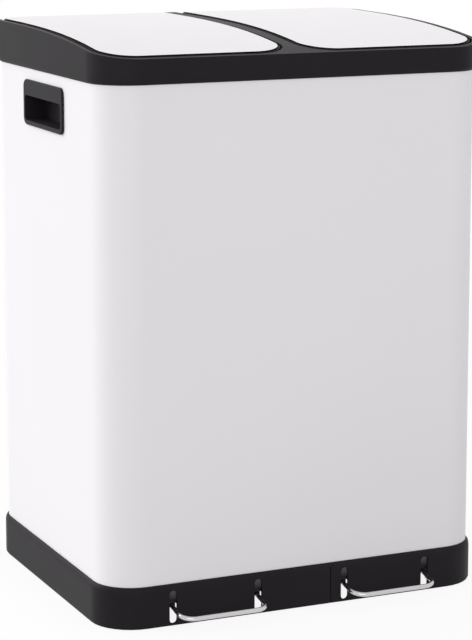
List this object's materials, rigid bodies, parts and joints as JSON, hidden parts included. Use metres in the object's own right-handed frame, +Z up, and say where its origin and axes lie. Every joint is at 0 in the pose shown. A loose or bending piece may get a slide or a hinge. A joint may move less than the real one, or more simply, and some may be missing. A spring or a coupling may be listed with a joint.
{
  "type": "double recycling bin",
  "caption": "Free-standing recycling bin with a painted steel body, side grips, buckets inside, and lids that pedals open one by one.",
  "frame": {"origin": "on the floor, in the middle of the footprint with the pedals", "axes": "+Z up, the front with the pedals faces -Y, +X to the right seen from the front"},
  "size_m": [0.47, 0.412, 0.647],
  "materials": {
    "white_paint": "satin white powder coat",
    "black_plastic": "fine-grained satin black",
    "grey_plastic": "moulded dark grey",
    "chrome": "bright chromed wire",
    "plain_steel": "plain zinc-plated",
    "rubber": "matt"
  },
  "bodies": {
    "bin": {"body_shell": "white_paint", "base": "black_plastic", "lid_frame": "black_plastic", "foot_front_left": "rubber", "foot_front_right": "rubber", "foot_rear_left": "rubber", "foot_rear_right": "rubber", "side_grip_left": "black_plastic", "side_grip_right": "black_plastic", "pedal_axle_left": "plain_steel", "pedal_axle_right": "plain_steel", "hinge_pin_left_inner": "plain_steel", "hinge_pin_left_outer": "plain_steel", "hinge_pin_right_inner": "plain_steel", "hinge_pin_right_outer": "plain_steel", "lid_bumper_left_inner": "rubber", "lid_bumper_left_outer": "rubber", "lid_bumper_right_inner": "rubber", "lid_bumper_right_outer": "rubber", "pedal_stop_left_inner": "rubber", "pedal_stop_left_outer": "rubber", "pedal_stop_right_inner": "rubber", "pedal_stop_right_outer": "rubber"},
    "left_lid": {"lid_cover_left": "white_paint", "lid_liner_left": "black_plastic", "crank_pin_left": "plain_steel"},
    "right_lid": {"lid_cover_right": "white_paint", "lid_liner_right": "black_plastic", "crank_pin_right": "plain_steel"},
    "left_rod": {"lift_rod_left": "plain_steel", "rod_eye_left": "grey_plastic", "rod_saddle_left": "grey_plastic"},
    "right_rod": {"lift_rod_right": "plain_steel", "rod_eye_right": "grey_plastic", "rod_saddle_right": "grey_plastic"},
    "left_pedal": {"pedal_left": "chrome", "lift_lever_left": "plain_steel"},
    "right_pedal": {"pedal_right": "chrome", "lift_lever_right": "plain_steel"},
    "left_bucket": {"bucket_left": "grey_plastic"},
    "right_bucket": {"bucket_right": "grey_plastic"}
  },
  "joints": [
    {"name": "left_lid_hinge", "type": "hinge", "parent": "bin", "child": "left_lid", "pos_m": [-0.119, 0.1895, 0.637], "axis": [-1, 0, 0], "range_deg": [0, 80]},
    {"name": "right_lid_hinge", "type": "hinge", "parent": "bin", "child": "right_lid", "pos_m": [0.119, 0.1895, 0.637], "axis": [-1, 0, 0], "range_deg": [0, 80]},
    {"name": "left_rod_lift", "type": "slide", "parent": "bin", "child": "left_rod", "axis": [0, 0, 1], "range_m": [0, 0.0232]},
    {"name": "right_rod_lift", "type": "slide", "parent": "bin", "child": "right_rod", "axis": [0, 0, 1], "range_m": [0, 0.0232]},
    {"name": "left_pedal_hinge", "type": "hinge", "parent": "bin", "child": "left_pedal", "pos_m": [-0.105, -0.07, 0.032], "axis": [1, 0, 0], "range_deg": [0, 5.4]},
    {"name": "right_pedal_hinge", "type": "hinge", "parent": "bin", "child": "right_pedal", "pos_m": [0.105, -0.07, 0.032], "axis": [1, 0, 0], "range_deg": [0, 5.4]},
    {"name": "left_bucket_lift", "type": "slide", "parent": "bin", "child": "left_bucket", "axis": [0, 0, 1], "range_m": [0, 0.03]},
    {"name": "right_bucket_lift", "type": "slide", "parent": "bin", "child": "right_bucket", "axis": [0, 0, 1], "range_m": [0, 0.03]}
  ],
  "couplings": [
    {"joint": "left_rod_lift", "follows": "left_lid_hinge", "m_per_rad": 0.016563},
    {"joint": "right_rod_lift", "follows": "right_lid_hinge", "m_per_rad": 0.016563},
    {"joint": "left_pedal_hinge", "follows": "left_lid_hinge", "ratio": 0.06747},
    {"joint": "right_pedal_hinge", "follows": "right_lid_hinge", "ratio": 0.06747}
  ]
}
